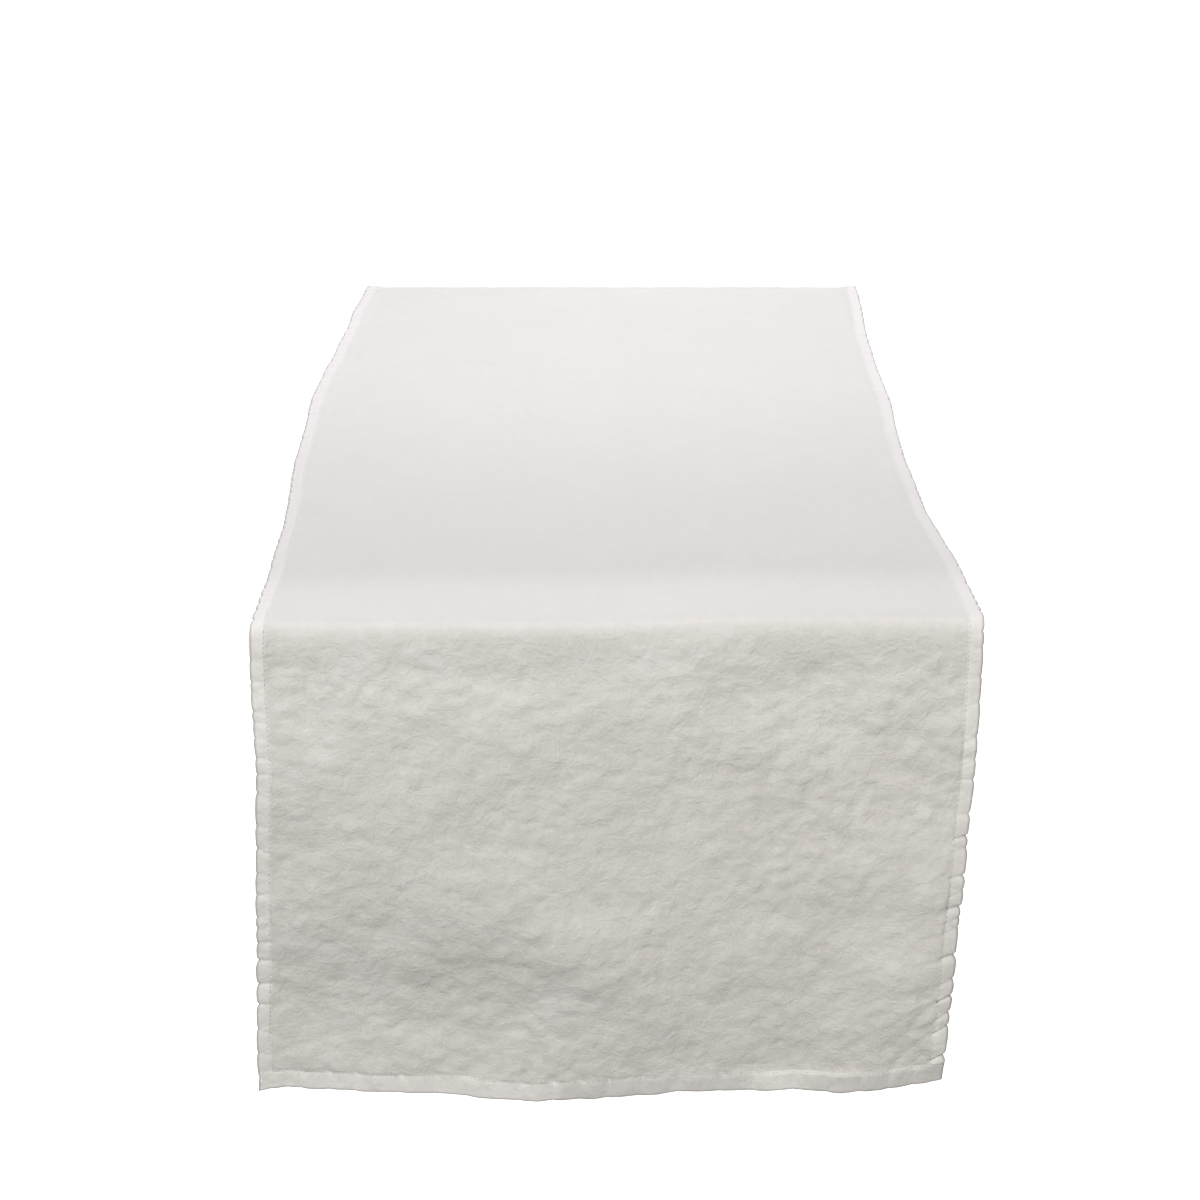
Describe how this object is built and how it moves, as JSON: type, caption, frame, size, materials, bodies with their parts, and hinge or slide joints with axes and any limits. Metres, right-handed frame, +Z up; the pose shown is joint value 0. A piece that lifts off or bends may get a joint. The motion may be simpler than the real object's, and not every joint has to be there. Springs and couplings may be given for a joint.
{
  "type": "table runner",
  "caption": "Long narrow linen cloth with turned hems, laid across a tabletop with both ends hanging over its edges.",
  "frame": {"origin": "middle of the centre span's underside, on the surface of the tabletop the runner lies on", "axes": "+X across the runner's width, +Y along its length from the front drop to the rear drop, +Z up"},
  "size_m": [0.45, 0.8548, 0.3284],
  "materials": {
    "linen": "matte",
    "linen_hem": "matte",
    "thread": "satin"
  },
  "bodies": {
    "centre_span": {"centre_panel": "linen", "centre_hem_left": "linen_hem", "centre_hem_right": "linen_hem", "centre_thread_left": "thread", "centre_thread_right": "thread", "front_fold_panel": "linen", "front_fold_hem_left": "linen_hem", "front_fold_hem_right": "linen_hem", "front_fold_thread_left": "thread", "front_fold_thread_right": "thread", "rear_fold_panel": "linen", "rear_fold_hem_left": "linen_hem", "rear_fold_hem_right": "linen_hem", "rear_fold_thread_left": "thread", "rear_fold_thread_right": "thread"},
    "front_drop": {"front_drop_panel": "linen", "front_drop_hem_left": "linen_hem", "front_drop_hem_right": "linen_hem", "front_end_hem": "linen_hem", "front_corner_left": "linen_hem", "front_corner_right": "linen_hem", "front_drop_thread_left": "thread", "front_drop_thread_right": "thread", "front_end_thread": "thread"},
    "rear_drop": {"rear_drop_panel": "linen", "rear_drop_hem_left": "linen_hem", "rear_drop_hem_right": "linen_hem", "rear_end_hem": "linen_hem", "rear_corner_left": "linen_hem", "rear_corner_right": "linen_hem", "rear_drop_thread_left": "thread", "rear_drop_thread_right": "thread", "rear_end_thread": "thread"}
  },
  "joints": [
    {"name": "front_drop_swing", "type": "hinge", "parent": "centre_span", "child": "front_drop", "pos_m": [0, -0.425, 0], "axis": [-1, 0, 0], "range_deg": [0, 90], "deforming": ["front_fold_panel", "front_fold_hem_left", "front_fold_hem_right", "front_fold_thread_left", "front_fold_thread_right"]},
    {"name": "rear_drop_swing", "type": "hinge", "parent": "centre_span", "child": "rear_drop", "pos_m": [0, 0.425, 0], "axis": [1, 0, 0], "range_deg": [0, 90], "deforming": ["rear_fold_panel", "rear_fold_hem_left", "rear_fold_hem_right", "rear_fold_thread_left", "rear_fold_thread_right"]}
  ]
}
